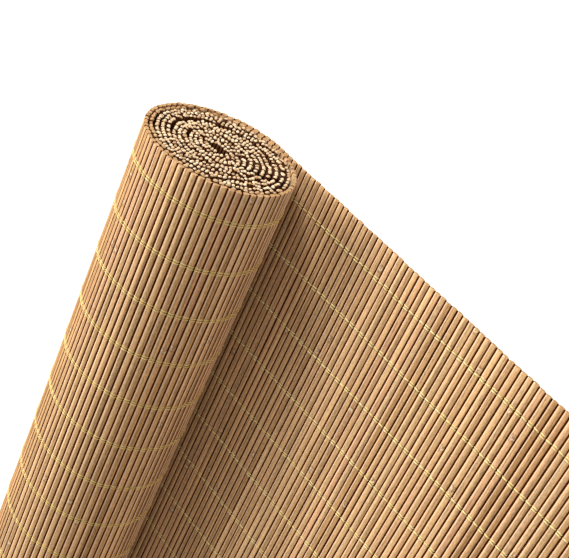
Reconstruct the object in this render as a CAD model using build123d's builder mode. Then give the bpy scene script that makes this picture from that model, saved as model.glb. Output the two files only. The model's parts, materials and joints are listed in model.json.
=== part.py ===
"""Cord roll-up shade of bamboo slats: headrail, two pulley hangers, hanging mat, its roll and the cords."""

import os
from math import acos, atan2, cos, degrees, hypot, pi, sin, sqrt

from build123d import *

# Mat: slats that lie across the shade, bound side by side into one wall
shade_width = 1200.0
slat_pitch = 4.0
slat_thickness = 2.0
slat_crown = 0.6
panel_slats = 270

# Roll: mean size of its outer turn, and of the innermost turn
roll_depth = 83.0
roll_height = 90.0
core_depth = 6.6
core_height = 17.0
roll_turns = 11.5
core_drop = 3.0

# Headrail: a wooden batten in front of the mat's top edge
rail_height = 22.0
rail_depth = 9.0
rail_rounding = 1.2
mat_setback = 2.0

# Hangers: a joggled plate with an eye above the headrail and a fork for the sheaves below
hanger_inset = 320.0
eye_height = 15.0
eye_bore_radius = 3.0
eyelet_wall = 0.6
eyelet_flange = 1.6
eyelet_lip = 0.7
eye_rim = 3.4
plate_thickness = 1.5
plate_width = 9.6
joggle_start = 1.0
leg_overlap = 8.0
cheek_radius = 11.0
screw_drop = 6.5
screw_length = 7.0
screw_radius = 1.4
screw_head_radius = 3.0
screw_head_height = 1.8
screw_slot_width = 0.9
screw_slot_depth = 0.8

# Sheaves and their pins
sheave_radius = 9.0
sheave_groove_radius = 5.4
sheave_groove_floor = 3.2
sheave_width = 6.0
sheave_rim = 0.6
sheave_drop = 3.0
sheave_clearance = 1.0
pin_radius = 1.5
pin_head_radius = 2.8
pin_head_height = 1.2

# Cords
cord_diameter = 3.0
cord_bend_radius = 4.5
cord_lead = 5.0
cord_spread = 22.0
tie_offset = 12.0
tie_step = 12.0
tie_depth = 5.0
knot_radius = 3.4

# Clearances
pin_clearance = 0.05
running_gap = 0.3
hole_clearance = 0.7
overrun = 1.0

# Levels and planes that several pieces share. The origin is midway between the two eyes.
cord_radius = cord_diameter / 2
rail_top = -eye_height
rail_bottom = rail_top - rail_height
rail_front = -rail_depth / 2
mat_front = rail_depth / 2
mat_back = mat_front + slat_thickness
mat_middle = mat_front + slat_thickness / 2
panel_top = rail_top - mat_setback
roll_axis_z = panel_top - panel_slats * slat_pitch
depth_pitch = (roll_depth - core_depth) / 2 / roll_turns
height_pitch = (roll_height - core_height) / 2 / roll_turns
outer_half_depth = (roll_depth - slat_thickness + depth_pitch) / 2
outer_half_height = (roll_height - slat_thickness + height_pitch) / 2
roll_axis_y = mat_middle - outer_half_depth
leg_front = rail_front - plate_thickness
leg_middle = rail_front - plate_thickness / 2
sheave_y = leg_front - sheave_radius - sheave_clearance
sheave_z = rail_bottom - sheave_drop
cord_wrap_radius = sheave_groove_radius + running_gap + cord_radius
cord_hole_z = sheave_z + cord_wrap_radius
cord_hole_radius = cord_radius + hole_clearance
cord_back_y = mat_back + cord_bend_radius
sheave_step = sheave_width + running_gap
screw_z = rail_top - screw_drop
left_x = hanger_inset - shade_width / 2
right_x = shade_width / 2 - hanger_inset
pull_sheave_x = right_x - sheave_step / 2
lift_sheave_x = right_x + sheave_step / 2
hangers = {"left": [left_x], "right": [pull_sheave_x, lift_sheave_x]}

# Each strand: where it leaves its sheave, passes under the roll and is tied, along the shade
strands = {
    "left": (left_x, left_x, left_x - tie_offset),
    "pull": (pull_sheave_x, right_x - cord_spread / 2, right_x + tie_offset),
    "right": (lift_sheave_x, right_x + cord_spread / 2, right_x + tie_offset + tie_step),
}

os.makedirs("parts", exist_ok=True)


def save(part, name):
    """Label a finished piece and write it as its own file."""
    part.label = name
    export_step(part, f"parts/{name}.step")
    print(f"{name}: {part.volume:.0f} cubic mm")


def roll_point(turn, outward=0.0):
    """A point of the rolled mat in (y, z), a number of turns in from where it leaves the panel."""
    angle = -2 * pi * turn
    half_depth = outer_half_depth - depth_pitch * turn
    half_height = outer_half_height - height_pitch * turn
    drop = core_drop * (1 - cos(pi * turn / roll_turns)) / 2
    normal = (cos(angle) / half_depth, sin(angle) / half_height)
    reach = outward / hypot(*normal)
    y = roll_axis_y + half_depth * cos(angle) + normal[0] * reach
    z = roll_axis_z - drop + half_height * sin(angle) + normal[1] * reach
    return y, z


def slat_turns():
    """The turn at each gap between slats, one slat pitch apart along the rolled mat."""
    turns = [running_gap / (2 * pi * outer_half_height)]
    while turns[-1] < roll_turns:
        angle = 2 * pi * turns[-1]
        half_depth = outer_half_depth - depth_pitch * turns[-1]
        half_height = outer_half_height - height_pitch * turns[-1]
        turn_length = 2 * pi * hypot(half_depth * sin(angle), half_height * cos(angle))
        turns.append(turns[-1] + slat_pitch / turn_length)
    return turns


# Hanging panel: a wall with a ridge for each slat on both faces
ridge_levels = [panel_top - step * slat_pitch / 2 for step in range(2 * panel_slats + 1)]
front_face = []
back_face = []
for step, level in enumerate(ridge_levels):
    valley = 0 if step % 2 else slat_crown
    front_face.append((mat_front + valley, level))
    back_face.append((mat_back - valley, level))

with BuildPart() as mat_panel:
    with BuildSketch(Plane.YZ.offset(-shade_width / 2)):
        with BuildLine():
            Polyline(*front_face, *reversed(back_face), close=True)
        make_face()
    extrude(amount=shade_width)
    for sheave_x, roll_x, tie_x in strands.values():
        with Locations((sheave_x, mat_middle, cord_hole_z), (tie_x, mat_middle, cord_hole_z)):
            Cylinder(cord_hole_radius, slat_thickness + overrun, rotation=(90, 0, 0), mode=Mode.SUBTRACT)
save(mat_panel.part, "mat_panel")

# Roll: the same wall wound into a loose spiral, its gaps opened on the outside
gap_turns = slat_turns()
outer_face = [roll_point(gap_turns[0], slat_thickness / 2 - slat_crown)]
for start, end in zip(gap_turns, gap_turns[1:]):
    outer_face.append(roll_point((start + end) / 2, slat_thickness / 2))
    outer_face.append(roll_point(end, slat_thickness / 2 - slat_crown))
inner_face = [roll_point(turn, -slat_thickness / 2) for turn in gap_turns]
roll_reach = max(hypot(y - roll_axis_y, z - roll_axis_z) for y, z in outer_face)

with BuildPart() as mat_roll:
    with BuildSketch(Plane.YZ.offset(-shade_width / 2)):
        with BuildLine():
            Polyline(*outer_face, *reversed(inner_face), close=True)
        make_face()
    extrude(amount=shade_width)
save(mat_roll.part, "mat_roll")

# Headrail with its cord holes, tie holes and pilot holes for the bracket screws
with BuildPart() as headrail:
    with Locations((0, 0, (rail_top + rail_bottom) / 2)):
        Box(shade_width, rail_depth, rail_height)
    fillet(headrail.edges().filter_by(Axis.X), radius=rail_rounding)
    for sheave_x, roll_x, tie_x in strands.values():
        with Locations((sheave_x, 0, cord_hole_z)):
            Cylinder(cord_hole_radius, rail_depth + overrun, rotation=(90, 0, 0), mode=Mode.SUBTRACT)
        with Locations((sheave_x, rail_front + screw_length / 2, screw_z)):
            Cylinder(screw_radius + pin_clearance, screw_length, rotation=(90, 0, 0), mode=Mode.SUBTRACT)
        with Locations((tie_x, mat_front - tie_depth / 2, cord_hole_z)):
            Cylinder(cord_hole_radius, tie_depth, rotation=(90, 0, 0), mode=Mode.SUBTRACT)
save(headrail.part, "headrail")


def make_bracket(center_x, sheave_places):
    """Joggled plate with its eye, leg and the two cheeks of the fork."""
    fork_gap = len(sheave_places) * sheave_step + running_gap
    fork_width = fork_gap + 2 * plate_thickness
    leg_bottom = sheave_z - leg_overlap
    joggle_bottom = rail_top + joggle_start
    eye_radius = eye_bore_radius + eyelet_wall + eye_rim
    with BuildPart() as bracket:
        with BuildSketch(Plane.YZ.offset(center_x - plate_width / 2)):
            with BuildLine():
                Polyline(
                    (leg_middle, rail_bottom),
                    (leg_middle, joggle_bottom),
                    (0, joggle_bottom - leg_middle),
                    (0, 0),
                )
                offset(amount=plate_thickness / 2, kind=Kind.INTERSECTION)
            make_face()
        extrude(amount=plate_width)
        with Locations((center_x, leg_middle, (rail_top + leg_bottom) / 2)):
            Box(fork_width, plate_thickness, rail_top - leg_bottom)
        with Locations((center_x, 0, 0)):
            Cylinder(eye_radius, plate_thickness, rotation=(90, 0, 0))
        for side in (-1, 1):
            cheek_plane = Plane.YZ.offset(center_x + side * (fork_gap + plate_thickness) / 2)
            with BuildSketch(cheek_plane):
                with Locations((sheave_y, sheave_z)):
                    Circle(cheek_radius)
                with Locations(((sheave_y + leg_front) / 2, (sheave_z + leg_bottom) / 2)):
                    Rectangle(leg_front - sheave_y, sheave_z - leg_bottom)
                with Locations(((sheave_y + leg_front) / 2, sheave_z + cheek_radius / 2)):
                    Rectangle(leg_front - sheave_y, cheek_radius)
            extrude(amount=plate_thickness / 2, both=True)
        with Locations((center_x, 0, 0)):
            Cylinder(
                eye_bore_radius + eyelet_wall + pin_clearance,
                plate_thickness + overrun,
                rotation=(90, 0, 0),
                mode=Mode.SUBTRACT,
            )
        with Locations((center_x, sheave_y, sheave_z)):
            Cylinder(pin_radius + pin_clearance, fork_width + overrun, rotation=(0, 90, 0), mode=Mode.SUBTRACT)
        for sheave_x in sheave_places:
            with Locations((sheave_x, leg_middle, cord_hole_z)):
                Cylinder(cord_hole_radius, plate_thickness + overrun, rotation=(90, 0, 0), mode=Mode.SUBTRACT)
            with Locations((sheave_x, leg_middle, screw_z)):
                Cylinder(
                    screw_radius + pin_clearance,
                    plate_thickness + overrun,
                    rotation=(90, 0, 0),
                    mode=Mode.SUBTRACT,
                )
    return bracket.part


def make_eyelet(center_x):
    """Rolled ring pressed into the bracket's eye, with a lip on each face."""
    lip_radius = eye_bore_radius + eyelet_wall + eyelet_flange
    with BuildPart() as eyelet:
        with Locations((center_x, 0, 0)):
            Cylinder(eye_bore_radius + eyelet_wall, plate_thickness + eyelet_lip, rotation=(90, 0, 0))
        for side in (-1, 1):
            with Locations((center_x, side * (plate_thickness + eyelet_lip) / 2, 0)):
                Cylinder(lip_radius, eyelet_lip, rotation=(90, 0, 0))
        with Locations((center_x, 0, 0)):
            Cylinder(
                eye_bore_radius,
                plate_thickness + 2 * eyelet_lip + overrun,
                rotation=(90, 0, 0),
                mode=Mode.SUBTRACT,
            )
    return eyelet.part


def make_screws(sheave_places):
    """Slotted pan-head screws that hold the bracket's leg to the headrail."""
    shank = plate_thickness + screw_length - running_gap
    with BuildPart() as screws:
        for screw_x in sheave_places:
            with Locations((screw_x, leg_front + shank / 2, screw_z)):
                Cylinder(screw_radius, shank, rotation=(90, 0, 0))
            with Locations((screw_x, leg_front - screw_head_height / 2, screw_z)):
                Cylinder(screw_head_radius, screw_head_height, rotation=(90, 0, 0))
        head_rims = screws.edges().filter_by(GeomType.CIRCLE).group_by(Axis.Y)[0]
        chamfer(head_rims, length=screw_head_height / 2)
        for screw_x in sheave_places:
            with Locations((screw_x, leg_front - screw_head_height + screw_slot_depth / 2, screw_z)):
                Box(2 * screw_head_radius, screw_slot_depth, screw_slot_width, mode=Mode.SUBTRACT)
    return screws.part


def make_sheave(sheave_x):
    """Grooved wheel that turns on the pin."""
    half_width = sheave_width / 2
    with BuildPart() as sheave:
        with BuildSketch(Plane.XY.offset(sheave_z)):
            with BuildLine():
                Polyline(
                    (sheave_x - half_width, sheave_y + pin_radius + pin_clearance),
                    (sheave_x + half_width, sheave_y + pin_radius + pin_clearance),
                    (sheave_x + half_width, sheave_y + sheave_radius),
                    (sheave_x + half_width - sheave_rim, sheave_y + sheave_radius),
                    (sheave_x + sheave_groove_floor / 2, sheave_y + sheave_groove_radius),
                    (sheave_x - sheave_groove_floor / 2, sheave_y + sheave_groove_radius),
                    (sheave_x - half_width + sheave_rim, sheave_y + sheave_radius),
                    (sheave_x - half_width, sheave_y + sheave_radius),
                    close=True,
                )
            make_face()
        revolve(axis=Axis((0, sheave_y, sheave_z), (1, 0, 0)))
    return sheave.part


def make_pin(center_x, sheave_places):
    """Riveted pin across the fork, with a head on each cheek."""
    fork_width = len(sheave_places) * sheave_step + running_gap + 2 * plate_thickness
    with BuildPart() as pin:
        with Locations((center_x, sheave_y, sheave_z)):
            Cylinder(pin_radius, fork_width, rotation=(0, 90, 0))
        for side in (-1, 1):
            with Locations((center_x + side * (fork_width + pin_head_height) / 2, sheave_y, sheave_z)):
                Cylinder(pin_head_radius, pin_head_height, rotation=(0, 90, 0))
        outer_edges = pin.edges().filter_by(GeomType.CIRCLE).group_by(Axis.X)
        chamfer(outer_edges[0] + outer_edges[-1], length=pin_head_height / 2)
    return pin.part


for side_name, sheave_places in hangers.items():
    middle_x = sum(sheave_places) / len(sheave_places)
    save(make_bracket(middle_x, sheave_places), f"bracket_{side_name}")
    save(make_eyelet(middle_x), f"eyelet_{side_name}")
    save(make_screws(sheave_places), f"bracket_screws_{side_name}")
    save(make_pin(middle_x, sheave_places), f"sheave_pin_{side_name}")
for strand_name, (sheave_x, roll_x, tie_x) in strands.items():
    save(make_sheave(sheave_x), f"sheave_{strand_name}")

# The front runs lie along the line that touches the sheave's wrap and the turn under the roll
under_radius = roll_reach + running_gap + cord_radius
rise_y = sheave_y - roll_axis_y
rise_z = sheave_z - roll_axis_z
rise = hypot(rise_y, rise_z)
touch_angle = atan2(rise_z, rise_y) + acos((under_radius - cord_wrap_radius) / rise)
run_length = sqrt(rise**2 - (under_radius - cord_wrap_radius) ** 2)
touch = (cos(touch_angle), sin(touch_angle))
run_direction = (sin(touch_angle), -cos(touch_angle))


def along_front(level):
    """The point (y, z) of a front run a distance below where it meets its sheave."""
    y = sheave_y + cord_wrap_radius * touch[0] - level * run_direction[0]
    z = sheave_z + cord_wrap_radius * touch[1] - level * run_direction[1]
    return y, z


def make_run(start, end):
    """A straight stretch of cord between two points."""
    route = Vector(*end) - Vector(*start)
    with BuildPart() as run:
        with BuildSketch(Plane(origin=start, z_dir=route)):
            Circle(cord_radius)
        extrude(amount=route.length)
    return run.part


def wrap_corner():
    """Where a front run, carried on upwards, meets the level of the cord holes."""
    level = -(cord_hole_z - along_front(0)[1]) / run_direction[1]
    return along_front(level)[0], cord_hole_z


def over_sheave(sheave_x):
    """Route points from below a sheave over its top towards the cord hole."""
    return [(sheave_x, *along_front(cord_lead)), (sheave_x, *wrap_corner())]


# Cords that stay put: over the sheaves, across behind the headrail, and the ties
with BuildPart() as cord_crossing:
    with BuildLine() as crossing_route:
        FilletPolyline(
            *over_sheave(left_x),
            (left_x, cord_back_y, cord_hole_z),
            (pull_sheave_x, cord_back_y, cord_hole_z),
            *reversed(over_sheave(pull_sheave_x)),
            radius=[cord_wrap_radius, cord_bend_radius, cord_bend_radius, cord_wrap_radius],
        )
    with BuildSketch(Plane(origin=crossing_route.line @ 0, z_dir=crossing_route.line % 0)):
        Circle(cord_radius)
    sweep()
save(cord_crossing.part, "cord_crossing")

with BuildPart() as cord_tail:
    with BuildLine() as tail_route:
        FilletPolyline(
            *over_sheave(lift_sheave_x),
            (lift_sheave_x, mat_back + knot_radius, cord_hole_z),
            radius=[cord_wrap_radius],
        )
    with BuildSketch(Plane(origin=tail_route.line @ 0, z_dir=tail_route.line % 0)):
        Circle(cord_radius)
    sweep()
    with Locations((lift_sheave_x, mat_back + knot_radius, cord_hole_z)):
        Sphere(knot_radius)
save(cord_tail.part, "cord_tail")

tie_bottom = rail_bottom - cord_lead
with BuildPart() as cord_ties:
    for sheave_x, roll_x, tie_x in strands.values():
        with BuildLine() as tie_route:
            FilletPolyline(
                (tie_x, mat_front - tie_depth + running_gap, cord_hole_z),
                (tie_x, cord_back_y, cord_hole_z),
                (tie_x, cord_back_y, tie_bottom),
                radius=[cord_bend_radius],
            )
        with BuildSketch(Plane(origin=tie_route.line @ 0, z_dir=tie_route.line % 0)):
            Circle(cord_radius)
        sweep(path=tie_route.line)
save(cord_ties.part, "cord_ties")

# Cords that shorten as the roll rises: front and back runs, and the turns under the roll
for strand_name, (sheave_x, roll_x, tie_x) in strands.items():
    top = (sheave_x, *along_front(cord_lead + running_gap))
    bottom = (roll_x, *along_front(run_length - running_gap))
    save(make_run(top, bottom), f"cord_{strand_name}_front")
    back_top = (tie_x, cord_back_y, tie_bottom - running_gap)
    back_bottom = (roll_x, roll_axis_y + under_radius, roll_axis_z + running_gap)
    save(make_run(back_top, back_bottom), f"cord_{strand_name}_back")

with BuildPart() as cord_bights:
    for sheave_x, roll_x, tie_x in strands.values():
        with BuildLine(Plane.YZ.offset(roll_x)) as under_route:
            CenterArc((roll_axis_y, roll_axis_z), under_radius, 0, degrees(touch_angle) - 360)
        with BuildSketch(Plane(origin=under_route.line @ 0, z_dir=under_route.line % 0)):
            Circle(cord_radius)
        sweep(path=under_route.line)
save(cord_bights.part, "cord_bights")

print(f"roll axis at y {roll_axis_y:.3f}, z {roll_axis_z:.3f}, reach {roll_reach:.3f}, slats {len(gap_turns) - 1}")
print(f"cord bends: sheave {cord_wrap_radius:.2f}, holes {cord_bend_radius:.2f}, roll {under_radius:.2f}")
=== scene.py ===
# %% [markdown]
# This lesson dresses a cord roll-up shade of bamboo slats. The shade hangs from two eyes, and its lower
# part is wound into a roll that three cord strands carry. The CAD model already fixes every place and
# size, so the first step loads it as a frame, in metres. We could model in a space of our own and fit the
# result later, but then each piece would have to be measured twice.

# %% Load the frame
import json
import math
import random

import bpy
import numpy as np
from mathutils import Matrix, Vector


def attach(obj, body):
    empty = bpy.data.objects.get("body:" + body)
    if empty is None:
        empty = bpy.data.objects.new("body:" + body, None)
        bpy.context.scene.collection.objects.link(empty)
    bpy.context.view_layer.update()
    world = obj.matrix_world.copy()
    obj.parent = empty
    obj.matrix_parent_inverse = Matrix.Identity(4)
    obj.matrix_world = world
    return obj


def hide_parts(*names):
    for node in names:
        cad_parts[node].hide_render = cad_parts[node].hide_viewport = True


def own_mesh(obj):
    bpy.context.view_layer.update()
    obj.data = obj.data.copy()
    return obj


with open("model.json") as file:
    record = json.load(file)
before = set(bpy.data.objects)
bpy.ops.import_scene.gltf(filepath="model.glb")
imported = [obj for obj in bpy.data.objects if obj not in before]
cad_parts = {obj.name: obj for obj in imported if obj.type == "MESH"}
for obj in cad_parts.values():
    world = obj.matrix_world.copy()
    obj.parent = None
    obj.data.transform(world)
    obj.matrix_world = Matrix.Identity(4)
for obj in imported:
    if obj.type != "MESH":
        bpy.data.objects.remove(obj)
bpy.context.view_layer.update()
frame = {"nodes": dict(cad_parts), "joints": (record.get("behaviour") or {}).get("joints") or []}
nodes = frame["nodes"]
MM = 0.001

# %% [markdown]
# The picture is taken from close above the left end of the roll, with a long lens and the camera rolled
# far over, so the slats run up the picture. We could turn a camera by hand until it looks right. Here the
# three image directions were worked out from the ellipse of the roll's end and the lines of the slats, so
# they are written down as a matrix: right, up and backwards.

# %% Camera at the photograph's view
FOCAL_PIXELS, PICTURE_WIDTH, FILM_WIDTH = 1203.08, 569, 36.0
NEAR_LIMIT, FAR_LIMIT = 0.01, 50.0
eye_point = Vector((-0.86284, -0.45563, -0.70545))
image_right = Vector((-0.37150, 0.71259, 0.59515))
image_down = Vector((0.79090, -0.09286, 0.60486))
image_depth = image_right.cross(image_down)

camera = bpy.data.objects.new("camera", bpy.data.cameras.new("camera"))
bpy.context.scene.collection.objects.link(camera)
turn = Matrix((image_right, -image_down, -image_depth)).transposed()
camera.matrix_world = Matrix.Translation(eye_point) @ turn.to_4x4()
camera.data.sensor_width = FILM_WIDTH
camera.data.lens = FOCAL_PIXELS * FILM_WIDTH / PICTURE_WIDTH
camera.data.clip_start, camera.data.clip_end = NEAR_LIMIT, FAR_LIMIT
bpy.context.scene.camera = camera
print("camera looks along", [round(v, 3) for v in image_depth], "lens", round(camera.data.lens, 2))

# %% [markdown]
# Shader sums are easier to read as sums. One could add every Math node by hand and link it, which takes
# four lines for each plus sign. This small class holds one output socket; a plus, minus or times sign
# between two of them, or with a number, adds the Math node. Every other node comes from one method, which
# sets the node's own settings first and then its sockets.


# %% A socket that can be added and multiplied
class Wire:
    """An output socket of a node tree. Sums on it add Math nodes to that tree."""

    def __init__(self, tree, socket=None):
        self.tree, self.socket = tree, socket

    def node(self, kind, settings=None, sockets=None, out=0):
        """Add a node: its type, its settings, its sockets' values or wires, and which output to hold."""
        made = self.tree.nodes.new("ShaderNode" + kind)
        for name, value in (settings or {}).items():
            if name == "stops":
                while len(made.color_ramp.elements) < len(value):
                    made.color_ramp.elements.new(1.0)
                for element, (place, colour) in zip(made.color_ramp.elements, value):
                    element.position, element.color = place, (*colour, 1.0)
            else:
                setattr(made, name, value)
        for name, value in (sockets or {}).items():
            if isinstance(value, Wire):
                self.tree.links.new(value.socket, made.inputs[name])
            else:
                made.inputs[name].default_value = value
        return Wire(self.tree, made.outputs[out])

    def maths(self, operation, *values):
        return self.node("Math", {"operation": operation}, dict(enumerate(values)))

    def __add__(self, other):
        return self.maths("ADD", self, other)

    def __sub__(self, other):
        return self.maths("SUBTRACT", self, other)

    def __rsub__(self, other):
        return self.maths("SUBTRACT", other, self)

    def __mul__(self, other):
        return self.maths("MULTIPLY", self, other)

    __radd__, __rmul__ = __add__, __mul__

    def ramp(self, *stops):
        """A colour that follows this value, through stops of (place, colour)."""
        return self.node("ValToRGB", {"stops": stops}, {"Fac": self})

    def step(self, low, high):
        """A soft step, from 0 below low to 1 above high."""
        settings = {"interpolation_type": "SMOOTHSTEP"}
        return self.node("MapRange", settings, {"Value": self, "From Min": low, "From Max": high})

    def mix(self, first, second):
        """Two colours mixed by this value."""
        return self.node("Mix", {"data_type": "RGBA"}, {0: self, 6: first, 7: second}, out=2)

    def grey(self):
        """This value as a grey colour."""
        return self.node("CombineColor", None, {0: self, 1: self, 2: self})

    def stretched(self, scales):
        """This vector with each axis scaled."""
        return self.node("VectorMath", {"operation": "MULTIPLY"}, {0: self, 1: scales})

    def noise(self, detail=2.0, rough=0.5):
        """Noise read at this vector."""
        sockets = {"Vector": self, "Scale": 1.0, "Detail": detail, "Roughness": rough}
        return self.node("TexNoise", None, sockets)


print("shader class ready")

# %% [markdown]
# Every finish here is one material with the Principled shader. Its sockets could be linked one by one in
# each cell, but the same few lines would come back each time. These helpers start a material, set or link
# its sockets, read a value that the mesh carries, multiply two colours, and turn a height into a bump.


# %% Helpers for finishes
def new_finish(name):
    """An empty material and a wire to build on."""
    material = bpy.data.materials.new(name)
    material.use_nodes = True
    return material, Wire(material.node_tree)


def set_surface(material, **sockets):
    """Set or link the shader's sockets; an underscore stands for a space."""
    shader = material.node_tree.nodes["Principled BSDF"]
    for name, value in sockets.items():
        socket = shader.inputs[name.replace("_", " ")]
        if isinstance(value, Wire):
            material.node_tree.links.new(value.socket, socket)
        else:
            socket.default_value = value


def attribute(wire, name, out="Fac"):
    """A value or a vector that the mesh carries."""
    return wire.node("Attribute", {"attribute_name": name}, out=out)


def multiplied(first, second):
    """One colour times another."""
    settings = {"data_type": "RGBA", "blend_type": "MULTIPLY"}
    return first.node("Mix", settings, {0: 1.0, 6: first, 7: second}, out=2)


def bumped(height, strength, distance):
    """A bump normal from a height value."""
    return height.node("Bump", None, {"Height": height, "Strength": strength, "Distance": distance})


print("finish helpers ready")

# %% [markdown]
# The studio is a white floor well below the shade and a white surround. A white background could be made
# by pouring light on everything, but that would wash the bamboo out, so the floor glows, and the surround
# is fully white, only for the rays that look at them.

# %% Surround and floor
FLOOR_LEVEL, FLOOR_REACH, FLOOR_GLOW = -2.35, 14.0, 0.75
SURROUND_LIGHT = 0.60

world = bpy.data.worlds.new("surround")
bpy.context.scene.world = world
world.use_nodes = True
sky = Wire(world.node_tree)


def seen_directly(wire):
    """1 for camera, glossy and transmission rays, 0 for the rays that carry light."""
    names = ("Is Camera Ray", "Is Glossy Ray", "Is Transmission Ray")
    rays = [wire.node("LightPath", out=name) for name in names]
    return wire.maths("MAXIMUM", wire.maths("MAXIMUM", rays[0], rays[1]), rays[2])


white = (1.0, 1.0, 1.0, 1.0)
dim = sky.node("Background", None, {"Color": white, "Strength": SURROUND_LIGHT})
bright = sky.node("Background", None, {"Color": white, "Strength": 1.0})
both = sky.node("MixShader", None, {0: seen_directly(sky), 1: dim, 2: bright})
world.node_tree.links.new(both.socket, world.node_tree.nodes["World Output"].inputs["Surface"])

floor_mesh = bpy.data.meshes.new("floor")
floor_signs = ((-1, -1), (1, -1), (1, 1), (-1, 1))
floor_corners = [(x * FLOOR_REACH, y * FLOOR_REACH, FLOOR_LEVEL) for x, y in floor_signs]
floor_mesh.from_pydata(floor_corners, [], [(0, 1, 2, 3)])
floor = bpy.data.objects.new("floor", floor_mesh)
bpy.context.scene.collection.objects.link(floor)
floor_white, wire = new_finish("floor_white")
set_surface(
    floor_white,
    Base_Color=(0.9, 0.9, 0.9, 1.0),
    Roughness=0.9,
    Emission_Color=seen_directly(wire).grey(),
    Emission_Strength=FLOOR_GLOW,
)
floor_mesh.materials.append(floor_white)
print("floor at", FLOOR_LEVEL, "m, surround at", SURROUND_LIGHT)

# %% [markdown]
# A key lamp and two weaker lamps light the shade. The key stands low in front of it, because in the
# picture the light comes from its left edge, which is downwards here. It makes the roll shade the panel
# above it. The second lamp lights the roll's end, and the third the back.

# %% Lamps
LIT_POINT = Vector((-0.42, -0.02, -1.04))


def add_lamp(name, direction, distance, size, level):
    """A white area lamp on the lit point, at a level where 1 shows a colour as it is written."""
    lamp = bpy.data.objects.new(name, bpy.data.lights.new(name, "AREA"))
    lamp.data.size = size
    lamp.data.energy = level * math.pi**2 * distance**2
    away = Vector(direction).normalized()
    lamp.location = LIT_POINT + away * distance
    lamp.rotation_euler = (-away).to_track_quat("-Z", "Y").to_euler()
    lamp.visible_camera = False
    bpy.context.scene.collection.objects.link(lamp)


add_lamp("key", (-0.22, -0.70, -0.68), distance=1.0, size=0.56, level=0.83)
add_lamp("end_light", (-0.88, -0.26, -0.40), distance=1.8, size=0.4, level=0.79)
add_lamp("back_light", (0.45, 0.85, 0.35), distance=3.2, size=1.6, level=0.45)
bpy.context.scene.view_settings.view_transform = "Standard"

# %% [markdown]
# The sizes below repeat the CAD source in metres: the plane of the mat and the oval spiral of its roll.
# Those of the cords come with the cords. One could read them back from the mesh of the CAD model, but a
# handful of named sizes is clearer. A roll is an oval whose half height and half depth lose one pitch at
# each turn. In two things the mat departs from the CAD model's: deeper in the roll its slats are narrower,
# and in the core it goes on for a third of a turn more, which narrows the slit there.

# %% Sizes shared by the pieces
HALF_WIDTH = 600 * MM
SLAT_PITCH, INNER_PITCH = 4.0 * MM, 2.35 * MM
SLAT_THICKNESS = 2.0 * MM
PANEL_SLATS = 270
MAT_MIDDLE = 5.5 * MM
PANEL_TOP = -17 * MM
ROLL_TURNS, MAT_END = 11.5, 11.85
NARROWING = (1.1, 2.4)
ROLL_Y, ROLL_Z = -36.661 * MM, PANEL_TOP - PANEL_SLATS * SLAT_PITCH
OUTER_DEPTH, DEPTH_PITCH = 42.161 * MM, 3.3217 * MM
OUTER_HEIGHT, HEIGHT_PITCH = 45.587 * MM, 3.1739 * MM
CORE_DROP = 3.0 * MM
LIFT = next(j for j in frame["joints"] if j["name"] == "roll_lift")["range_m"][1]


def roll_place(turn):
    """Middle of the rolled mat as (y, z), its direction along the winding and its outward direction."""
    angle = -2 * math.pi * turn
    half = np.array([OUTER_DEPTH - DEPTH_PITCH * turn, OUTER_HEIGHT - HEIGHT_PITCH * turn])
    ring = np.array([math.cos(angle), math.sin(angle)])
    drop = CORE_DROP * (1 - math.cos(math.pi * turn / ROLL_TURNS)) / 2
    place = np.array([ROLL_Y, ROLL_Z - drop]) + half * ring
    outward = ring / half
    outward /= np.linalg.norm(outward)
    return place, np.array([outward[1], -outward[0]]), outward


def slat_pitch(turn):
    """Distance from slat to slat: the part of the mat deeper in the roll has narrower slats."""
    return float(np.interp(turn, NARROWING, (SLAT_PITCH, INNER_PITCH)))


def roll_gaps():
    """The turns at which one slat ends and the next begins."""
    turns = [0.0]
    while turns[-1] < MAT_END:
        angle = 2 * math.pi * turns[-1]
        half_depth = OUTER_DEPTH - DEPTH_PITCH * turns[-1]
        half_height = OUTER_HEIGHT - HEIGHT_PITCH * turns[-1]
        around = 2 * math.pi * math.hypot(half_depth * math.sin(angle), half_height * math.cos(angle))
        turns.append(turns[-1] + slat_pitch(turns[-1]) / around)
    return turns


print("slats in the roll:", len(roll_gaps()) - 1, "lift", LIFT)

# %% [markdown]
# Each mesh here is built from plain lists: points, faces and a few values that the finish reads, such as
# how far along the slat a point lies. This helper makes the object from them. Smooth shading is right for
# round slats and cords, and the cut ends stay flat.


# %% A mesh piece from points and faces
def make_piece(name, points, faces, finishes, values=None, flat_from=None, second_from=None):
    """Faces from flat_from on stay flat, and those from second_from on take the second finish."""
    mesh = bpy.data.meshes.new(name)
    mesh.from_pydata(np.asarray(points).tolist(), [], faces)
    smooth = np.ones(len(faces), bool)
    if flat_from is not None:
        smooth[flat_from:] = False
    mesh.polygons.foreach_set("use_smooth", smooth)
    for finish in finishes:
        mesh.materials.append(finish)
    if second_from is not None:
        index = np.zeros(len(faces), np.int32)
        index[second_from:] = 1
        mesh.polygons.foreach_set("material_index", index)
    for key, data in (values or {}).items():
        data = np.asarray(data, np.float32)
        kind, field = ("FLOAT_VECTOR", "vector") if data.ndim == 2 else ("FLOAT", "value")
        mesh.attributes.new(key, kind, "POINT").data.foreach_set(field, data.ravel())
    piece = bpy.data.objects.new(name, mesh)
    bpy.context.scene.collection.objects.link(piece)
    mesh.update()
    print(name, "points", len(points), "faces", len(faces))
    return piece


def shortens(piece, top, bottom):
    """Hang the piece from the headrail and give it a mesh of its own."""
    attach(piece, "headrail")
    1 - LIFT / (top - bottom)
    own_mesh(piece)


print("mesh helpers ready")
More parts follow.
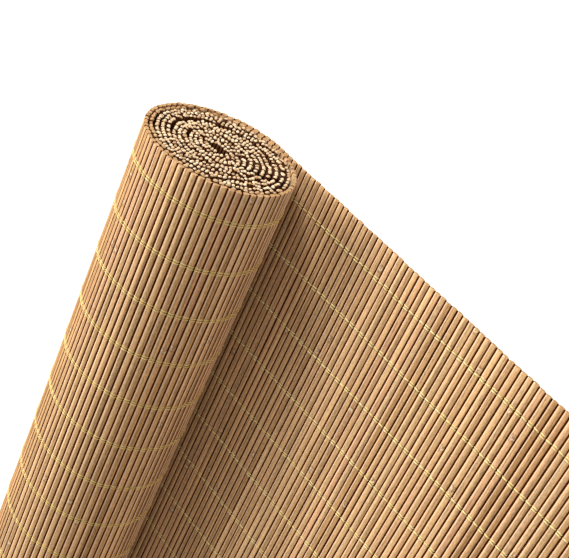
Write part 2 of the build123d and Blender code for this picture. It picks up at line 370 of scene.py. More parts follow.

# %% [markdown]
# The lift cords are braided brown polyester, 3 mm thick and a little furry. One brown for all of it would
# look like plastic wire. The tube that comes further down says how far each point stands out, and the
# finish reads that to paint shade between the strands and a painted highlight on their backs. Fine noise
# gives the fur.

# %% Braided cord finish
cord_brown, wire = new_finish("cord_brown")
raised = attribute(wire, "raised")
along = attribute(wire, "along")
fuzz = wire.node("TexCoord", out="Object").stretched((2600, 2600, 2600)).noise(3.0)
slow = along.node("CombineXYZ", None, {0: along * 9.0}).noise(2.0)
# Painted shade between the braid's strands and a painted highlight on their backs, mixed with fur and slow
# tone noise.
shade = raised * 0.55 + fuzz * 0.35 + slow * 0.25
cord_colour = shade.ramp(
    (0.15, (0.060, 0.028, 0.014)),
    (0.6, (0.150, 0.075, 0.040)),
    (1.0, (0.260, 0.150, 0.085)),
)
set_surface(
    cord_brown,
    Base_Color=cord_colour,
    Roughness=fuzz * 0.2 + 0.62,
    Normal=bumped(fuzz, 0.35, 0.0002),
)
print("cord finish nodes:", len(cord_brown.node_tree.nodes))

# %% [markdown]
# Each cord goes from a tie in the headrail down behind the mat, under the roll, up in front of it and
# over a sheave. The front run is taut, so it is the line that touches both the sheave and the turn under
# the roll, and that line can be worked out instead of tried. Where a cord bends, a polygon of points
# round the bend is given to a NURBS spline, which rounds it, and the finished line is read back from the
# spline.

# %% Lines of the cords
CORD_RADIUS = 1.5 * MM
SHEAVE_Y, SHEAVE_Z, WRAP_RADIUS = -16 * MM, -40 * MM, 7.2 * MM
UNDER_RADIUS = 47.61 * MM
HOLE_Z = SHEAVE_Z + WRAP_RADIUS
CORD_BACK_Y, TIE_BOTTOM = 11 * MM, -42 * MM
CORD_LEAD, CORD_JOIN, BEND_REACH = 5 * MM, 0.3 * MM, 9 * MM
SPLINE_STEPS = 24
# For each strand, x at its sheave, at the roll and at its tie.
strands = {
    "left": (-280 * MM, -280 * MM, -292 * MM),
    "pull": (276.85 * MM, 269 * MM, 292 * MM),
    "right": (283.15 * MM, 291 * MM, 304 * MM),
}
span_y, span_z = SHEAVE_Y - ROLL_Y, SHEAVE_Z - ROLL_Z
span = math.hypot(span_y, span_z)
touch_angle = math.atan2(span_z, span_y) + math.acos((UNDER_RADIUS - WRAP_RADIUS) / span)
touch = np.array([math.cos(touch_angle), math.sin(touch_angle)])
down_run = np.array([-math.sin(touch_angle), math.cos(touch_angle)])
run_length = math.sqrt(span**2 - (UNDER_RADIUS - WRAP_RADIUS) ** 2)


def on_front(level):
    """(y, z) of the front run, a distance below the point where it meets its sheave."""
    return np.array([SHEAVE_Y, SHEAVE_Z]) + WRAP_RADIUS * touch + level * down_run


def corner_points(x, centre, radius, start, end, corners):
    """Corners of the polygon outside an arc, which a smooth spline rounds to that arc."""
    part = (end - start) / corners
    far = radius / math.cos(part / 2)
    angles = [start + (i + 0.5) * part for i in range(corners)]
    return [(x, centre[0] + far * math.cos(a), centre[1] + far * math.sin(a)) for a in angles]


def spline_line(points):
    """Points read from a smooth spline that has the route's points as its control points."""
    curve = bpy.data.curves.new("route", "CURVE")
    curve.dimensions, curve.resolution_u = "3D", SPLINE_STEPS
    spline = curve.splines.new("NURBS")
    spline.points.add(len(points) - 1)
    for control, point in zip(spline.points, points):
        control.co = (*point, 1.0)
    spline.order_u = 3
    spline.use_endpoint_u = True
    route = bpy.data.objects.new("route", curve)
    bpy.context.scene.collection.objects.link(route)
    line = bpy.data.meshes.new_from_object(route.evaluated_get(bpy.context.evaluated_depsgraph_get()))
    read = np.array([v.co for v in line.vertices])
    bpy.data.objects.remove(route)
    bpy.data.meshes.remove(line)
    return read


print("front run", round(run_length, 4), "m, meets the roll at", round(math.degrees(touch_angle), 1))

# %% [markdown]
# A braided cord is a tube of strands that pass over and under each other. A smooth pipe with the braid
# drawn on it would look flat at the rim. Modelling each strand would take too many faces on some seven
# metres of cord. So this tube is knobbly: of eight strips round it, every second one stands out, and the
# next ring has them the other way round.

# %% Braided tube along a line
BRAID_STEP = 1.6 * MM
BRAID_STRIPS, FEWEST_RINGS = 8, 4
BRAID_RELIEF, BRAID_TWIST = 0.09, 0.12
SAME_POINT = 1e-7
SLANTED = (0.3, 0.5, 0.8)


def braid(lines):
    """Points, faces and values of knobbly tubes, one along each line."""
    points, faces, raised, along = [], [], [], []
    for line in lines:
        steps = np.linalg.norm(np.diff(line, axis=0), axis=1)
        apart = steps > SAME_POINT
        line = line[np.concatenate([[True], apart])]
        reach = np.concatenate([[0], np.cumsum(steps[apart])])
        rings = max(FEWEST_RINGS, round(reach[-1] / BRAID_STEP))
        at = np.linspace(0, reach[-1], rings + 1)
        middle = np.stack([np.interp(at, reach, line[:, k]) for k in range(3)], axis=1)
        forward = np.gradient(middle, axis=0)
        forward /= np.linalg.norm(forward, axis=1)[:, None]
        aside = np.cross(forward[0], SLANTED)
        first = len(points)
        for i, (place, ahead) in enumerate(zip(middle, forward)):
            aside = aside - ahead * (aside @ ahead)
            aside /= np.linalg.norm(aside)
            third = np.cross(ahead, aside)
            for j in range(BRAID_STRIPS):
                angle = 2 * math.pi * (j + BRAID_TWIST * i) / BRAID_STRIPS
                out = (i + j) % 2
                radius = CORD_RADIUS * (1 + BRAID_RELIEF * (out - 0.5))
                points.append(place + radius * (math.cos(angle) * aside + math.sin(angle) * third))
                raised.append(out)
                along.append(at[i])
        for i in range(rings):
            for j in range(BRAID_STRIPS):
                a, b = first + i * BRAID_STRIPS, first + i * BRAID_STRIPS + BRAID_STRIPS
                k = (j + 1) % BRAID_STRIPS
                faces.append((a + j, a + k, b + k, b + j))
        faces.append(tuple(first + j for j in reversed(range(BRAID_STRIPS))))
        faces.append(tuple(first + rings * BRAID_STRIPS + j for j in range(BRAID_STRIPS)))
    return points, faces, {"raised": raised, "along": along}


def make_cord(name, replaced, *lines):
    """A braided piece along these lines, in the cord's finish."""
    points, faces, values = braid(lines)
    piece = make_piece(name, points, faces, [cord_brown], values)
    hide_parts(*replaced)
    return piece


print("braid:", BRAID_STRIPS, "strips round, a ring every", BRAID_STEP, "m")

# %% [markdown]
# The front and back runs are taut, so they are straight. The turns under the roll ride on it. They keep a
# round line a little outside the oval roll, because the roll turns inside them on its way up.

# %% Runs and the turns under the roll
UNDER_CORNERS = 6

under_lines = []
for name, (sheave_x, roll_x, tie_x) in strands.items():
    top, bottom = on_front(CORD_LEAD + CORD_JOIN), on_front(run_length - CORD_JOIN)
    front_line = np.array([(sheave_x, *top), (roll_x, *bottom)])
    front = make_cord(f"lift_cord_{name}_front", [f"cord_{name}_front"], front_line)
    shortens(front, top[1], bottom[1])
    back_top, back_bottom = TIE_BOTTOM - CORD_JOIN, ROLL_Z + CORD_JOIN
    back_line = np.array([(tie_x, CORD_BACK_Y, back_top), (roll_x, ROLL_Y + UNDER_RADIUS, back_bottom)])
    back = make_cord(f"lift_cord_{name}_back", [f"cord_{name}_back"], back_line)
    shortens(back, back_top, back_bottom)
    end = touch_angle - 2 * math.pi
    start_point = (roll_x, ROLL_Y + UNDER_RADIUS, ROLL_Z)
    end_point = (roll_x, ROLL_Y + UNDER_RADIUS * math.cos(end), ROLL_Z + UNDER_RADIUS * math.sin(end))
    corners = corner_points(roll_x, (ROLL_Y, ROLL_Z), UNDER_RADIUS, 0, end, UNDER_CORNERS)
    under_lines.append(spline_line([start_point, *corners, end_point]))
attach(make_cord("lift_cord_turns", ["cord_bights"], *under_lines), "roll_cords")

# %% [markdown]
# At the top the left cord goes over its sheave, through the headrail, across behind it and out over the
# pull sheave. The right cord ends behind the headrail in a stopper knot, and the back runs start from
# ties in the headrail. The knot is one more bit of cord, laid along a trefoil, which is the line of a
# real overhand knot.

# %% Cords at the headrail
SHEAVE_CORNERS = 2
KNOT_Y, KNOT_SIZE, KNOT_DEPTH, KNOT_POINTS = 9.9 * MM, 0.95 * MM, 0.9, 30
TIE_START = -0.2 * MM


def over_sheave(x):
    """Route points from below a sheave, round its top, towards the hole in the headrail."""
    sheave, top = (SHEAVE_Y, SHEAVE_Z), math.pi / 2
    corners = corner_points(x, sheave, WRAP_RADIUS, touch_angle, top, SHEAVE_CORNERS)
    return [(x, *on_front(CORD_LEAD)), *corners, (x, CORD_BACK_Y - BEND_REACH, HOLE_Z)]


left_x, pull_x, right_x = (strands[name][0] for name in ("left", "pull", "right"))
crossing = [
    *over_sheave(left_x),
    (left_x, CORD_BACK_Y, HOLE_Z),
    (left_x + BEND_REACH, CORD_BACK_Y, HOLE_Z),
    (pull_x - BEND_REACH, CORD_BACK_Y, HOLE_Z),
    (pull_x, CORD_BACK_Y, HOLE_Z),
    *reversed(over_sheave(pull_x)),
]
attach(make_cord("lift_cord_crossing", ["cord_crossing"], spline_line(crossing)), "headrail")

knot = []
for i in range(KNOT_POINTS + 1):
    t = 2 * math.pi * i / KNOT_POINTS
    aside, up = math.sin(t) + 2 * math.sin(2 * t), math.cos(t) - 2 * math.cos(2 * t)
    trefoil = np.array((aside, KNOT_DEPTH * math.sin(3 * t), up))
    knot.append(np.array((right_x, KNOT_Y, HOLE_Z)) + KNOT_SIZE * trefoil)
tail = [*over_sheave(right_x), (right_x, KNOT_Y, HOLE_Z)]
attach(make_cord("lift_cord_tail", ["cord_tail"], spline_line(tail), spline_line(knot)), "headrail")

tie = (
    (TIE_START, HOLE_Z),
    (CORD_BACK_Y - BEND_REACH, HOLE_Z),
    (CORD_BACK_Y, HOLE_Z),
    (CORD_BACK_Y, TIE_BOTTOM),
)
tie_lines = [spline_line([(tie_x, y, z) for y, z in tie]) for _, _, tie_x in strands.values()]
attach(make_cord("lift_cord_ties", ["cord_ties"], *tie_lines), "headrail")

# %% [markdown]
# Bamboo slats are split and planed sticks, stained a warm tan. Up close each has fine fibres along its
# length, its own tone, a little wear on both edges, and here and there the scar of a joint of the cane. A
# picture of bamboo could be pasted on, but it would repeat. Noise that is stretched along the slat gives
# fibres at any length, and values that each slat carries make neighbours differ. A painted highlight makes
# the lower edge of each slat paler, where the light catches it. The mat's gaps hold almost no light, so
# painted shade makes the colour fall to a deep brown where the edges turn in, and the sides of the slats
# inside the roll, seen only through the gaps, are painted dark as shade.

# %% Bamboo finish for the sides of the slats
bamboo_side, wire = new_finish("bamboo_side")
grain = attribute(wire, "grain", "Vector")
tone = attribute(wire, "tone")
joint = attribute(wire, "joint")
rim = attribute(wire, "rim")
# Painted highlight: a pale strip along the lower edge of each slat, where the light catches it.
lit_edge = 1 - attribute(wire, "edge").step(-0.45, 0.0)
inside = attribute(wire, "turns_in").step(1.05, 1.30)
coarse = grain.stretched((12, 850, 31)).noise(3.0, 0.6)
fine = grain.stretched((420, 1900, 57)).noise(2.0, 0.6)
patch = grain.stretched((5, 60, 83)).noise(2.0)
scrape = grain.stretched((900, 1500, 11)).noise(2.0)

tan = tone.ramp(
    (0.0, (0.390, 0.205, 0.080)),
    (0.3, (0.510, 0.290, 0.125)),
    (0.6, (0.580, 0.340, 0.155)),
    (0.85, (0.610, 0.375, 0.175)),
    (1.0, (0.650, 0.400, 0.200)),
)
pink = patch.step(0.50, 0.68) * 0.55
warm = pink.mix(tan, (0.600, 0.320, 0.175, 1.0))
streaks = coarse.step(0.30, 0.70) * 0.6 + fine.step(0.28, 0.72) * 0.4
grained = multiplied(warm, (streaks * 1.10 + 0.44).grey())
scar = joint.step(0.10, 0.45) * scrape.step(0.40, 0.56)
chip = joint.step(0.45, 0.85) * (1 - scrape.step(0.42, 0.58))
dented = (scar * 0.75).mix(grained, (0.240, 0.115, 0.045, 1.0))
scarred = (chip * 0.65).mix(dented, (0.860, 0.670, 0.450, 1.0))
# Pale edge band: mostly the painted highlight on the lower edge, with a little real wear on both edges.
wear_and_edge_highlight = rim.step(0.66, 0.76) * (1 - rim.step(0.76, 0.97)) * (lit_edge * 0.60 + 0.08)
edged = wear_and_edge_highlight.mix(scarred, (0.990, 0.850, 0.680, 1.0))
# Painted shade: the colour falls to a deep brown where the slat's edges turn into the gaps.
painted_gap_shade = rim.ramp(
    (0.38, (0.085, 0.019, 0.000)),
    (0.59, (0.260, 0.105, 0.012)),
    (0.69, (0.730, 0.530, 0.300)),
    (0.77, (1.0, 1.0, 1.0)),
)
opened = multiplied(edged, painted_gap_shade)
# Painted shade: the sides of the slats inside the roll are darkened, as they are seen only in the gaps.
side_colour = (inside * 0.9).mix(opened, (0.060, 0.010, 0.000, 1.0))
set_surface(
    bamboo_side,
    Base_Color=side_colour,
    Roughness=0.72 - coarse * 0.20 + scar * 0.1,
    Specular_IOR_Level=0.0,
    Normal=bumped(streaks + scar * 0.6, 0.30, 0.0002),
)
print("bamboo side nodes:", len(bamboo_side.node_tree.nodes))

# %% [markdown]
# The cut ends of the slats are paler than their sides and speckled, because the saw crosses the fibres.
# In the roll's outer turns the ends are browner from stain and handling. The values come from the mesh
# again: the tone of the slat, and how many turns in it lies.

# %% Bamboo finish for the cut ends
bamboo_cut, wire = new_finish("bamboo_cut")
tone, turns_in = attribute(wire, "tone"), attribute(wire, "turns_in")
where = wire.node("TexCoord", out="Object")
speck = where.stretched((900, 1500, 1500)).noise(3.0, 0.6)
pores = where.stretched((600, 3800, 3800)).noise(1.0)
pale = (tone * 0.7 + speck * 0.5).ramp(
    (0.25, (0.540, 0.320, 0.155)),
    (0.55, (0.860, 0.600, 0.355)),
    (0.90, (1.000, 0.815, 0.550)),
)
stained = ((1 - turns_in.step(1.1, 2.6)) * 0.85).mix(pale, (0.450, 0.240, 0.095, 1.0))
cut_colour = (pores.step(0.56, 0.70) * 0.65).mix(stained, (0.180, 0.085, 0.030, 1.0))
set_surface(
    bamboo_cut,
    Base_Color=cut_colour,
    Roughness=speck * 0.15 + 0.68,
    Specular_IOR_Level=0.0,
    Normal=bumped(speck, 0.6, 0.0003),
)
print("bamboo cut nodes:", len(bamboo_cut.node_tree.nodes))

# %% [markdown]
# One slat is a flat oval stick with eased edges, a little wavy, sawn off at both ends. It could be a
# squashed cylinder with a bevel, but a ring of points that is repeated along the slat leaves every point
# in our hands. The ring below is for a slat two units wide and thick. Its walk says how far round it each
# point lies, for the grain.

# %% Ring of a slat
WIDTH_RATIO = 1.9
slat_quarter = ((1.00, 0.00), (0.95, 0.36), (0.80, 0.63), (0.50, 0.88))
slat_half = [*slat_quarter, (0.00, 1.00), *((-across, out) for across, out in reversed(slat_quarter[1:]))]
slat_ring = [*slat_half, *((-across, -out) for across, out in slat_half)]
ring_across = np.array([p[0] for p in slat_ring])
ring_out = np.array([p[1] for p in slat_ring])
ring_steps = np.hypot(np.diff(ring_across) * WIDTH_RATIO, np.diff(ring_out))
ring_walk = np.concatenate([[0], np.cumsum(ring_steps)]) * MM
print("slat ring points:", len(slat_ring))

# %% [markdown]
# Arrays of one slat would give every copy the same waves. So each slat is built by itself, with its own
# width, ends, waves and joints, from one seeded stream of random numbers. Inside the roll the ends are
# worn rounder, and as nothing else of those slats is seen, they have fewer rings and no joints. This
# class collects the slats of the panel or of the roll, with the values that their finish reads, and makes
# one mesh of them, which is far quicker than hundreds of objects.

# %% Slats collected into one piece
OUTER_TURN = 1.12
SEEN_SLAT = {"rings": 7, "joints": 3, "skew": 0.05, "eased": 0.30 * MM, "end_share": 0.90}
BURIED_SLAT = {"rings": 2, "joints": 0, "skew": 0.16, "eased": 0.55 * MM, "end_share": 0.62}
draw = random.Random(20)
ANY_PHASE = (0, 6.3)
TONE_MEAN, TONE_SPREAD = 0.55, 0.24
WAVES, WAVE_RATES, WAVE_SIZE = 3, (6, 14), 0.02 * MM
RING_INSET = 20 * MM
JOINT_REACH, JOINT_SWELL = 3.5 * MM, 0.05


class Slats:
    """Collects slats and makes one piece of them."""

    def __init__(self):
        self.points, self.sides, self.ends = [], [], []
        self.values = {"grain": [], "tone": [], "joint": [], "turns_in": [], "rim": [], "edge": []}
        self.count = 0

    def add(self, place, along, outward, half_width, half_thickness, ends, turns_in=0.0):
        """A slat with its middle at place (y, z), its width along the mat and its face outward."""
        kind = BURIED_SLAT if turns_in > OUTER_TURN else SEEN_SLAT
        joints, skew = kind["joints"], kind["skew"]
        tone = min(1.0, max(0.0, draw.gauss(TONE_MEAN, TONE_SPREAD)))
        seed = draw.random()
        x_start, x_end = ends
        places = [x_start + (i + draw.random()) * (x_end - x_start) / joints for i in range(joints)]
        marks = {x: 0.0 for x in np.linspace(x_start + RING_INSET, x_end - RING_INSET, kind["rings"])}
        for x in places:
            marks.update({x - JOINT_REACH: 0.0, x: 1.0, x + JOINT_REACH: 0.0})
        low, high = x_start + kind["eased"], x_end - kind["eased"]
        marks = {x: v for x, v in marks.items() if low < x < high}
        xs = np.array([x_start, low, *sorted(marks), high, x_end])
        knuckle = np.array([0, 0, *(marks[x] for x in sorted(marks)), 0, 0])
        share = np.ones(len(xs))
        share[0] = share[-1] = kind["end_share"]
        waves = []
        for _ in range(WAVES):
            rate, phase = draw.uniform(*WAVE_RATES), draw.uniform(*ANY_PHASE)
            waves.append(draw.gauss(0, WAVE_SIZE) * np.sin(rate * xs + phase))
        sway, lift = waves[0] + waves[1], waves[2]
        across = np.outer(share * half_width, ring_across) + sway[:, None]
        swollen = share * half_thickness * (1 + JOINT_SWELL * knuckle)
        out = np.outer(swollen, ring_out) + lift[:, None]
        ring = np.empty((len(xs), len(slat_ring), 3))
        ring[:, :, 0] = xs[:, None]
        for end in (slice(0, 2), slice(-2, None)):
            ring[end, :, 0] += draw.gauss(0, skew) * across[0] + draw.gauss(0, skew) * out[0]
        ring[:, :, 1] = place[0] + across * along[0] + out * outward[0]
        ring[:, :, 2] = place[1] + across * along[1] + out * outward[1]
        self.store(ring, xs, knuckle, tone, seed, turns_in)

    def store(self, ring, xs, knuckle, tone, seed, turns_in):
        """Keep a slat's points, its faces and the values that its finish reads."""
        rings, sides = ring.shape[:2]
        first = self.count
        self.points.append(ring.reshape(-1, 3))
        grain = np.empty((rings, sides, 3))
        grain[:, :, 0], grain[:, :, 1], grain[:, :, 2] = xs[:, None], ring_walk[None, :], seed
        self.values["grain"].append(grain.reshape(-1, 3))
        self.values["joint"].append(np.repeat(knuckle, sides))
        self.values["rim"].append(np.tile(np.abs(ring_out), rings))
        self.values["edge"].append(np.tile(ring_across, rings))
        self.values["tone"].append(np.full(rings * sides, tone))
        self.values["turns_in"].append(np.full(rings * sides, turns_in))
        for i in range(rings - 1):
            a, b = first + i * sides, first + (i + 1) * sides
            strip = [(a + j, a + (j + 1) % sides, b + (j + 1) % sides, b + j) for j in range(sides)]
            pale = i in (0, rings - 2) and turns_in > OUTER_TURN
            (self.ends if pale else self.sides).extend(strip)
        self.ends.append(tuple(first + j for j in reversed(range(sides))))
        self.ends.append(tuple(first + (rings - 1) * sides + j for j in range(sides)))
        self.count += rings * sides

    def piece(self, name):
        points, faces = np.concatenate(self.points), self.sides + self.ends
        values = {key: np.concatenate(parts) for key, parts in self.values.items()}
        split = len(self.sides)
        return make_piece(name, points, faces, [bamboo_side, bamboo_cut], values, split, split)


print("values for each point of a slat:", ", ".join(Slats().values))

# %% [markdown]
# The hanging panel is 270 slats, one above the other. Their widths differ a little, as hand-sorted slats
# do, so the gaps wander by up to a fifth of a millimetre.

# %% Panel slats
GAP_WANDER = 0.20 * MM
SLAT_OVERLAP = 0.03 * MM
DEPTH_WANDER, END_TRIM, PANEL_TILT = 0.06 * MM, 0.45 * MM, 0.05

panel = Slats()
edges = [PANEL_TOP - i * SLAT_PITCH + draw.uniform(-1, 1) * GAP_WANDER for i in range(PANEL_SLATS + 1)]
for upper, lower in zip(edges, edges[1:]):
    place = (MAT_MIDDLE + draw.gauss(0, DEPTH_WANDER), (upper + lower) / 2)
    half_width = (upper - lower + SLAT_OVERLAP) / 2
    ends = (-HALF_WIDTH + draw.uniform(0, END_TRIM), HALF_WIDTH - draw.uniform(0, END_TRIM))
    tilt = draw.gauss(0, PANEL_TILT)
    along, outward = (math.sin(tilt), math.cos(tilt)), (-math.cos(tilt), math.sin(tilt))
    panel.add(place, along, outward, half_width, SLAT_THICKNESS / 2, ends)
panel_slats = panel.piece("panel_slats")
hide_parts("mat_panel")
shortens(panel_slats, PANEL_TOP, ROLL_Z)

# %% [markdown]
# The roll is the same mat wound eleven and a half times. Its ends show every slat, so each one stands at
# its own height, tilts a little, and some turns lie loose. The slats inside are narrower, the inner turns
# have slid along the roll by a millimetre or two, and two crescents on the underside are open.

# %% Roll slats
# Ranges and spreads in millimetres, and the tilt in radians.
OUTSIDE = {"swell": (0.10, 0.26), "tilt": 0.015, "gap": (-0.02, 0.03), "rough": 0.12}
WITHIN = {"swell": (-0.10, 0.10), "tilt": 0.045, "gap": (0.20, 0.36), "rough": 0.45}
HEIGHT_WANDER, WANDER_FROM = 0.18 * MM, 1.2
SAG_SHARPNESS = 1.5
sags = ((4.55, 7.6, 1.7 * MM), (8.1, 10.8, 1.2 * MM))
slid_turns = (0, 1.2, 2.2, 4.5, 4.6, 8.1, 8.2, 11.5)
slid_by = (0, 0, 0.2, 0.2, 1.2, 1.2, 1.9, 2.1)


def slackness(turn):
    """How far a slat lies inside its turn, below the roll's middle."""
    below = max(0.0, math.sin(2 * math.pi * turn)) ** SAG_SHARPNESS
    here = [size * (last - turn) / (last - first) for first, last, size in sags if first < turn < last]
    return below * sum(here)


roll = Slats()
gaps = roll_gaps()
for start, end in zip(gaps, gaps[1:]):
    middle = (start + end) / 2
    kind = OUTSIDE if middle < OUTER_TURN else WITHIN
    place, along, outward = roll_place(middle)
    swell = draw.uniform(*kind["swell"]) * MM
    wander = draw.uniform(-HEIGHT_WANDER, HEIGHT_WANDER) * min(1, middle / WANDER_FROM)
    place = place - outward * (swell + slackness(middle) + wander)
    tilt = draw.gauss(0, kind["tilt"])
    width_way = along * math.cos(tilt) + outward * math.sin(tilt)
    face_way = outward * math.cos(tilt) - along * math.sin(tilt)
    half_width = slat_pitch(middle) / 2 - draw.uniform(*kind["gap"]) * MM
    slid = np.interp(middle, slid_turns, slid_by) * MM
    ends = [side * HALF_WIDTH + slid + draw.gauss(0, kind["rough"] * MM) for side in (-1, 1)]
    roll.add(place, width_way, face_way, half_width, SLAT_THICKNESS / 2 + swell, ends, middle)
roll_slats = roll.piece("roll_slats")
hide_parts("mat_roll")
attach(roll_slats, "roll")

# %% [markdown]
# Golden threads bind the slats. On the face of the panel two strands cross one slat side by side and a
# single strand the next; on the other face, which is outside on the roll, two cross every slat. The yarn
# is two plies twisted together, so a sine along the strand gives pale plies and dark twists. Its edges
# turn down into the shade between the slats, so they are darkened: three points across a strand are too
# few to do that by their shape alone.

# %% Thread finish
thread_gold, wire = new_finish("thread_gold")
twist, strand_tone, crest = (attribute(wire, name) for name in ("twist", "tone", "crest"))
ply = twist.maths("SINE", twist * (2 * math.pi)) * 0.5 + 0.5
gold = (ply * 0.45 + strand_tone * 0.55).ramp(
    (0.0, (0.480, 0.290, 0.060)),
    (0.5, (0.860, 0.620, 0.220)),
    (1.0, (1.000, 0.850, 0.480)),
)
rounded = crest.step(0.0, 0.42).mix((0.150, 0.075, 0.018, 1.0), gold)
set_surface(
    thread_gold,
    Base_Color=rounded,
    Roughness=0.62 - ply * 0.12,
    Specular_IOR_Level=0.25,
    Normal=bumped(ply, 0.3, 0.0001),
)
print("thread finish nodes:", len(thread_gold.node_tree.nodes))

# %% [markdown]
# A binding thread is a line of loops: it goes over one slat, dips into the gap and goes over the next.
# One long wavy tube would be the plain way, but there are 38 threads on three faces of mat, over more
# than 300 slats. So an arch is a short strip with a raised middle, three points wide. The outside of the
# roll gets the roundest arches, the face of the panel plainer ones, and its back the plainest.

# %% Thread arches
THREAD_FIRST, THREAD_SPACING, THREADS = 18.1 * MM, 31.2 * MM, 38
STRAND_WIDTH, STRAND_APART, STRAND_EDGE = 0.92 * MM, 1.55 * MM, 0.42 * MM
WIDTH_SPREAD, SINGLE_WIDER = (0.9, 1.1), 1.25
STRAND_SWAY, STRAND_LEAN = 0.10 * MM, 0.05
PLY_LENGTH = 1.1 * MM
thread_places = [-HALF_WIDTH + THREAD_FIRST + i * THREAD_SPACING for i in range(THREADS)]
# Along the mat in half pitches, outward in millimetres from the middle of the mat.
full_arch = ((-1.0, 0.0), (-0.74, 1.20), (0.0, 1.46), (0.74, 1.20), (1.0, 0.0))
low_arch = ((-1.0, 0.0), (-0.66, 1.36), (0.66, 1.36), (1.0, 0.0))
flat_arch = ((-0.92, 0.62), (0.0, 1.46), (0.92, 0.62))


class Threads:
    """Collects arches of thread and makes one piece of them."""

    def __init__(self, arch, tones):
        self.arch = np.array(arch) * (SLAT_PITCH / 2, MM)
        self.tones = tones
        self.sides = (-1, 0, 1)
        self.points, self.faces, self.count = [], [], 0
        self.values = {"twist": [], "tone": [], "crest": []}

    def add(self, x, place, along, outward, width, lean):
        """One strand over a slat: x along the shade, place (y, z) in the middle of the mat."""
        tone = draw.uniform(*self.tones)
        for across, out in self.arch:
            for side in self.sides:
                drop = out - (STRAND_EDGE if side else 0)
                y = place[0] + across * along[0] + drop * outward[0]
                z = place[1] + across * along[1] + drop * outward[1]
                self.points.append((x + lean * across + side * width / 2, y, z))
                self.values["twist"].append((across + side * width / 2) / PLY_LENGTH)
                self.values["tone"].append(tone)
                self.values["crest"].append(0.0 if side or out <= 0 else 1.0)
        across_count = len(self.sides)
        for i in range(len(self.arch) - 1):
            for j in range(across_count - 1):
                a = self.count + i * across_count + j
                self.faces.append((a, a + 1, a + across_count + 1, a + across_count))
        self.count += len(self.arch) * across_count

    def piece(self, name):
        return make_piece(name, self.points, self.faces, [thread_gold], self.values)


def bind(threads, x, place, along, outward, double):
    """The strand or the two strands of one thread over one slat."""
    sway = draw.gauss(0, STRAND_SWAY)
    for side in (-1, 1) if double else (0,):
        width = STRAND_WIDTH * draw.uniform(*WIDTH_SPREAD) * (1.0 if double else SINGLE_WIDER)
        lean = draw.gauss(0, STRAND_LEAN)
        threads.add(x + sway + side * STRAND_APART / 2, place, along, outward, width, lean)


print("threads at", round(thread_places[0], 4), "to", round(thread_places[-1], 4))

# %% [markdown]
# The threads run from the top of the panel to its foot and on round the roll, 31 mm apart, and each
# wanders a little, as it would from a simple loom. Those of the panel hang from the headrail and those of
# the roll go with it, so they are separate pieces. At the seam between the two they stand back a little,
# so that they don't cut into each other when the roll rises. Inside the roll nobody sees them, and they
# are left out there.

# %% Threads on the panel and on the roll
SEAM_GAP = 0.45 * MM
THREAD_WANDER, BEND_PER_SLAT, BEND_PER_TURN = 0.35 * MM, 0.11, 9
PALE_TONES, DIM_TONES = (0.5, 1.0), (0.15, 0.60)
panel_face, panel_rear = Threads(low_arch, PALE_TONES), Threads(flat_arch, DIM_TONES)
roll_outside = Threads(full_arch, DIM_TONES)
for x in thread_places:
    phase = draw.uniform(*ANY_PHASE)
    for i in range(PANEL_SLATS):
        seam = SEAM_GAP if i == PANEL_SLATS - 1 else 0
        place = (MAT_MIDDLE, PANEL_TOP - (i + 0.5) * SLAT_PITCH + seam)
        near = x + THREAD_WANDER * math.sin(BEND_PER_SLAT * i + phase)
        bind(panel_face, near, place, (0, 1), (-1, 0), i % 2 == 0)
        bind(panel_rear, near, place, (0, 1), (1, 0), True)
    for start, end in zip(gaps, gaps[1:]):
        if start < OUTER_TURN:
            place, along, outward = roll_place((start + end) / 2)
            place = place + along * (SEAM_GAP if start == 0 else 0)
            near = x + THREAD_WANDER * math.sin(BEND_PER_TURN * start + phase)
            bind(roll_outside, near, place, along, outward, True)
for threads, name in ((panel_face, "panel_threads_front"), (panel_rear, "panel_threads_back")):
    shortens(threads.piece(name), PANEL_TOP, ROLL_Z)
roll_threads = roll_outside.piece("roll_threads")
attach(roll_threads, "roll")

# %% [markdown]
# The headrail is a planed pine batten, pale cream with soft darker year lines along it. Its CAD solid has
# the right shape, so it only needs a finish. A wave texture would give even bands. Slow noise, stretched
# along the rail and cut into bands by its fraction, wanders as year lines do.

# %% Pine finish
pine, wire = new_finish("pine_headrail")
where = wire.node("TexCoord", out="Object")
bent = where.stretched((2.2, 160, 160)).noise(3.0, 0.55)
lines = bent.maths("FRACT", bent * 11.0)
late = lines.step(0.45, 0.95)
fibre = where.stretched((30, 2600, 2600)).noise(2.0)
cream = late.mix((0.830, 0.680, 0.470, 1.0), (0.660, 0.460, 0.255, 1.0))
fleck = (fibre.step(0.52, 0.72) * 0.30).mix(cream, (0.560, 0.370, 0.200, 1.0))
set_surface(
    pine,
    Base_Color=fleck,
    Roughness=fibre * 0.2 + 0.45,
    Normal=bumped(late * 0.3 + fibre * 0.7, 0.25, 0.0003),
)


def dress(finish, *names):
    """Give CAD nodes a finish."""
    for name in names:
        nodes[name].data.materials.clear()
        nodes[name].data.materials.append(finish)
    print(finish.name, "on", ", ".join(names))


dress(pine, "headrail")

# %% [markdown]
# The hangers are pressed steel, powder coated black, with grey rings in their eyes, zinc pins and black
# screws. The sheaves are moulded grey plastic. Powder coat has a fine orange peel and rubs through at
# handled places, so noise drives the bump, the gloss and a few grey scuffs.


# %% Metal and plastic finishes
def coated(name, colour, wear_and_edge_highlight, metallic, rough, peel):
    """A finish with a fine texture and scuffs in a second colour."""
    material, wire = new_finish(name)
    where = wire.node("TexCoord", out="Object")
    texture = where.stretched((peel, peel, peel)).noise(2.0)
    scuff = where.stretched((420, 420, 160)).noise(4.0, 0.65).step(0.60, 0.72)
    set_surface(
        material,
        Base_Color=(scuff * 0.6).mix((*colour, 1.0), (*wear_and_edge_highlight, 1.0)),
        Metallic=metallic,
        Roughness=texture * 0.18 + scuff * 0.12 + rough,
        Normal=bumped(texture, 0.25, 0.0002),
    )
    return material


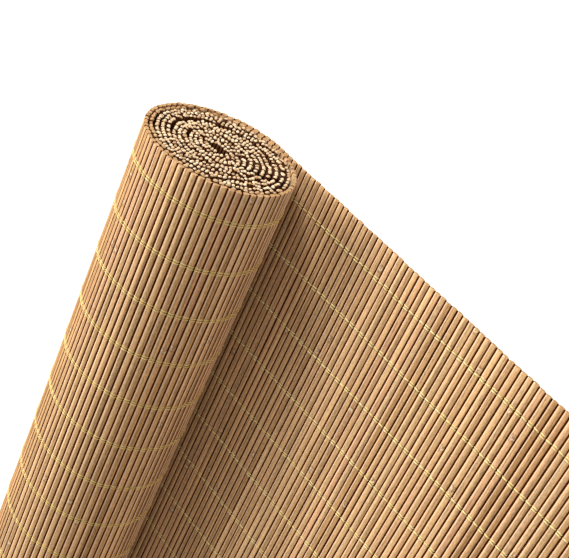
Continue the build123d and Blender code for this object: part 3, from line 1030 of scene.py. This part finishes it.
black, black_scuff = (0.013, 0.013, 0.014), (0.060, 0.058, 0.055)
black_plate = coated("black_powder_coat", black, black_scuff, metallic=0.0, rough=0.30, peel=1500)
dress(black_plate, "bracket_left", "bracket_right")
zinc, zinc_scuff = (0.310, 0.310, 0.305), (0.200, 0.195, 0.190)
ring_zinc = coated("ring_zinc", zinc, zinc_scuff, metallic=0.9, rough=0.34, peel=2400)
dress(ring_zinc, "eyelet_left", "eyelet_right", "sheave_pin_left", "sheave_pin_right")
oxide, oxide_scuff = (0.030, 0.029, 0.028), (0.180, 0.175, 0.165)
screw_black = coated("screw_black", oxide, oxide_scuff, metallic=0.8, rough=0.34, peel=2800)
dress(screw_black, "bracket_screws_left", "bracket_screws_right")
grey, grey_scuff = (0.400, 0.400, 0.395), (0.240, 0.235, 0.225)
sheave_grey = coated("sheave_plastic", grey, grey_scuff, metallic=0.0, rough=0.42, peel=2000)
dress(sheave_grey, "sheave_left", "sheave_pull", "sheave_right")

# %% [markdown]
# Behind the headrail a row of wire staples holds the mat to the wood. Each is a flat wire bent into a U,
# whose back lies on the slats. It could be a box, but real staples have rounded shoulders, so the wire
# follows a bent line.

# %% Staples behind the headrail
STAPLES, STAPLE_WIDTH, STAPLE_WIRE, STAPLE_Z = 11, 10 * MM, 0.55 * MM, -25 * MM
STAPLE_MARGIN, STAPLE_SHIFT, STAPLE_RISE, STAPLE_LEAN = 30 * MM, 4 * MM, 1 * MM, 0.05
MAT_BACK = 6.5 * MM
LEG = 0.5
# Across in widths of the staple, outward in millimetres from the back of the mat.
staple_line = ((-LEG, -1.6), (-LEG, 0.05), (-0.42, 0.45), (0.42, 0.45), (LEG, 0.05), (LEG, -1.6))
wire_corners = ((-1, 0), (1, 0), (1, 1), (-1, 1))
spacing = 2 * (HALF_WIDTH - STAPLE_MARGIN) / (STAPLES - 1)
points, faces = [], []
for i in range(STAPLES):
    staple_x = (i - (STAPLES - 1) / 2) * spacing + draw.uniform(-STAPLE_SHIFT, STAPLE_SHIFT)
    staple_z = STAPLE_Z + draw.uniform(-STAPLE_RISE, STAPLE_RISE)
    lean = draw.gauss(0, STAPLE_LEAN)
    first = len(points)
    for across, out in staple_line:
        for up, outside in wire_corners:
            x = staple_x + across * STAPLE_WIDTH
            y = MAT_BACK + out * MM
            z = staple_z + lean * across * STAPLE_WIDTH + up * STAPLE_WIRE / 2
            if abs(across) == LEG:
                x += math.copysign(STAPLE_WIRE * outside, across)
            else:
                y += STAPLE_WIRE * outside
            points.append((x, y, z))
    for k in range(len(staple_line) - 1):
        a, b = first + 4 * k, first + 4 * k + 4
        faces += [(a + j, a + (j + 1) % 4, b + (j + 1) % 4, b + j) for j in range(4)]
staples = make_piece("mat_staples", points, faces, [ring_zinc], flat_from=0)
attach(staples, "headrail")
